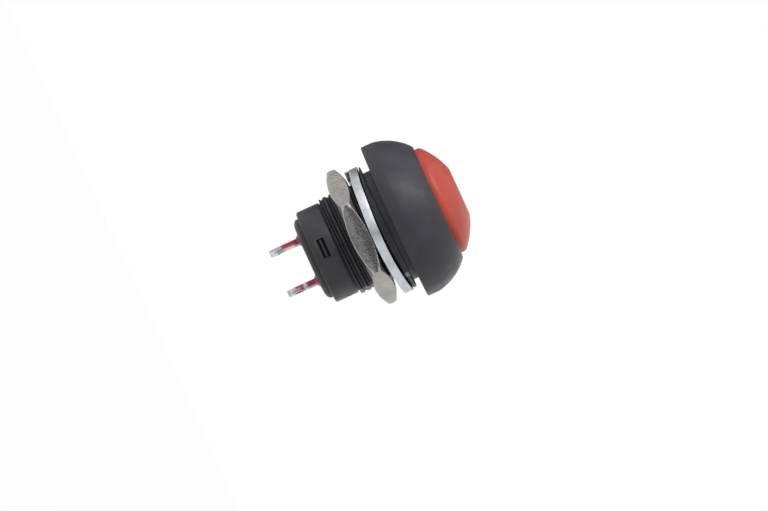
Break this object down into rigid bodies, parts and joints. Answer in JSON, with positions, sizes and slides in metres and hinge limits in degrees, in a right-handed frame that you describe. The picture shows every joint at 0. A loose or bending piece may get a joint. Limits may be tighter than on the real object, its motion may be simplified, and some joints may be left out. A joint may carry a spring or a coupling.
{
  "type": "pushbutton switch",
  "caption": "Panel-mount momentary pushbutton switch: domed round bezel, red button, threaded barrel with gasket, lock washer and hex nut, solder terminals.",
  "frame": {"origin": "on the switch axis, in the plane of the bezel's rear rim, where the panel's front face lies", "axes": "+Z along the switch axis towards the button, +X through the two solder terminals"},
  "size_m": [0.018, 0.018, 0.0219],
  "materials": {
    "black_plastic": "satin moulded black plastic",
    "carrier_plastic": "satin moulded black plastic",
    "red_plastic": "satin moulded red plastic",
    "white_plastic": "natural acetal",
    "seal_rubber": "matt",
    "gasket_rubber": "smooth rubber",
    "plate_steel": "bright",
    "spring_steel": "drawn wire",
    "contact_brass": "rolled sheet",
    "contact_silver": "silver faced",
    "tinned_brass": "tin plated",
    "red_resin": "cured epoxy",
    "zinc_steel": "bright zinc plate",
    "nickel_brass": "dull nickel plate"
  },
  "bodies": {
    "body": {"housing": "black_plastic", "terminal_carrier": "carrier_plastic", "terminal_left": "tinned_brass", "terminal_right": "tinned_brass", "fixed_contact_left": "contact_silver", "fixed_contact_right": "contact_silver", "epoxy_bead_left": "red_resin", "epoxy_bead_right": "red_resin", "plunger_seal": "seal_rubber", "seal_retainer": "plate_steel", "return_spring": "spring_steel", "panel_gasket": "gasket_rubber"},
    "button": {"button_cap": "red_plastic", "plunger": "white_plastic", "contact_spring": "spring_steel"},
    "bridge": {"contact_bridge": "contact_brass", "moving_contact_left": "contact_silver", "moving_contact_right": "contact_silver"},
    "washer": {"lock_washer": "zinc_steel"},
    "nut": {"hex_nut": "nickel_brass"}
  },
  "joints": [
    {"name": "button_press", "type": "slide", "parent": "body", "child": "button", "axis": [0, 0, -1], "range_m": [0, 0.0016], "stiffness_N_per_m": 600, "deforming": ["return_spring"]},
    {"name": "bridge_travel", "type": "slide", "parent": "body", "child": "bridge", "axis": [0, 0, -1], "range_m": [0, 0.00098], "deforming": ["contact_spring"]},
    {"name": "washer_travel", "type": "slide", "parent": "body", "child": "washer", "axis": [0, 0, 1], "range_m": [-0.0035, 0.00004]},
    {"name": "nut_turn", "type": "hinge", "parent": "washer", "child": "nut", "pos_m": [0, 0, -0.004], "axis": [0, 0, 1], "range_deg": [-1685, 22]}
  ],
  "couplings": [
    {"joint": "bridge_travel", "follows": "button_press", "ratio": 0.6125},
    {"joint": "nut_turn", "follows": "washer_travel", "rad_per_m": 8377.6}
  ]
}
